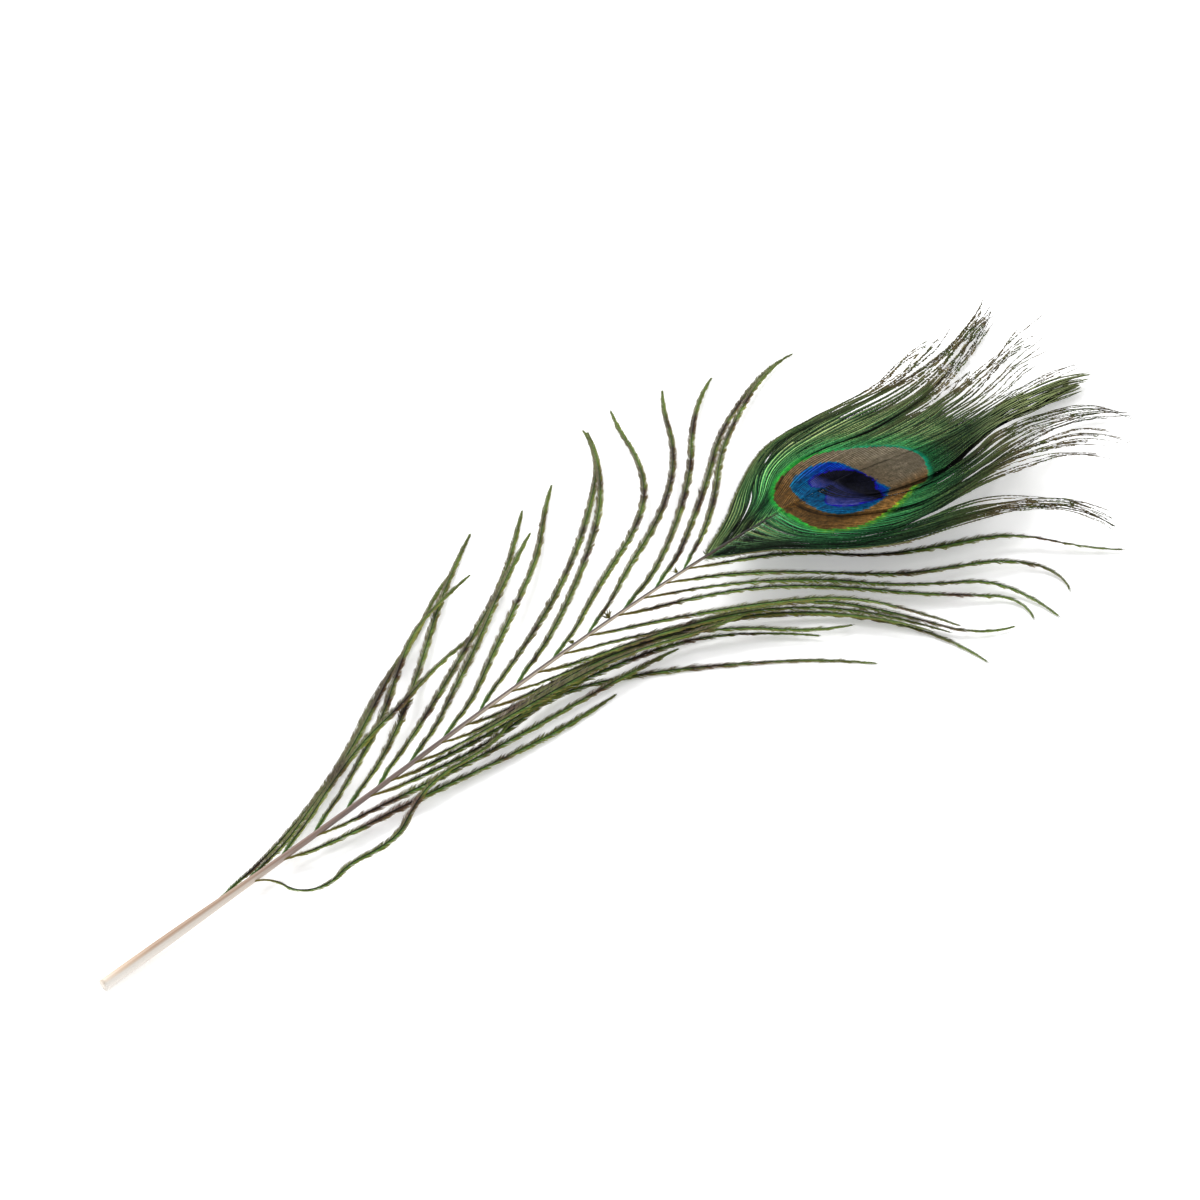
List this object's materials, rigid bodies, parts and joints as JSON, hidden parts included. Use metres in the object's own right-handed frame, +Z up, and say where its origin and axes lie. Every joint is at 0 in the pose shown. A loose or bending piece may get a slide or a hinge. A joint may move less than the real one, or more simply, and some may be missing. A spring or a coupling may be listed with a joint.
{
  "type": "peacock feather",
  "caption": "Peacock tail feather with a bare cut quill, loose fringed green barbs and a bronze, blue and violet eye, lying flat with the eye up.",
  "frame": {"origin": "middle of the footprint, on the surface that the feather lies on", "axes": "+X along the shaft from the cut quill to the fringe past the eye, +Y to the feather's left, +Z up, out of the side of the eye that shows its colours"},
  "size_m": [0.3174, 0.1304, 0.0144],
  "materials": {
    "shaft": "bare keratin, cream at the cut end and grey-brown towards the eye, satin",
    "loose_barbs": "fine keratin barbules, olive and lime green over dark brown",
    "eye_vane": "close keratin barbules with a metallic sheen in green, bronze, blue and violet"
  },
  "bodies": {
    "root": {"shaft": "shaft", "barb_left_01": "loose_barbs", "barb_left_02": "loose_barbs", "barb_left_03": "loose_barbs", "barb_left_04": "loose_barbs", "barb_left_05": "loose_barbs", "barb_left_06": "loose_barbs", "barb_left_07": "loose_barbs", "barb_left_08": "loose_barbs", "barb_left_09": "loose_barbs", "barb_left_10": "loose_barbs", "barb_left_11": "loose_barbs", "barb_left_12": "loose_barbs", "barb_left_13": "loose_barbs", "barb_left_14": "loose_barbs", "barb_left_15": "loose_barbs", "barb_right_01": "loose_barbs", "barb_right_02": "loose_barbs", "barb_right_03": "loose_barbs", "barb_right_04": "loose_barbs", "barb_right_05": "loose_barbs", "barb_right_06": "loose_barbs", "barb_right_07": "loose_barbs", "barb_right_08": "loose_barbs", "barb_right_09": "loose_barbs", "barb_right_10": "loose_barbs", "barb_right_11": "loose_barbs", "barb_right_12": "loose_barbs", "barb_right_13": "loose_barbs", "barb_right_14": "loose_barbs", "barb_right_15": "loose_barbs", "barb_right_16": "loose_barbs", "barb_right_17": "loose_barbs", "lock_left_1": "eye_vane", "lock_left_2": "eye_vane", "lock_left_3": "eye_vane", "lock_left_4": "eye_vane", "lock_left_5": "eye_vane", "lock_left_6": "eye_vane", "lock_tip": "eye_vane", "lock_right_1": "eye_vane", "lock_right_2": "eye_vane", "lock_right_3": "eye_vane"}
  },
  "joints": []
}
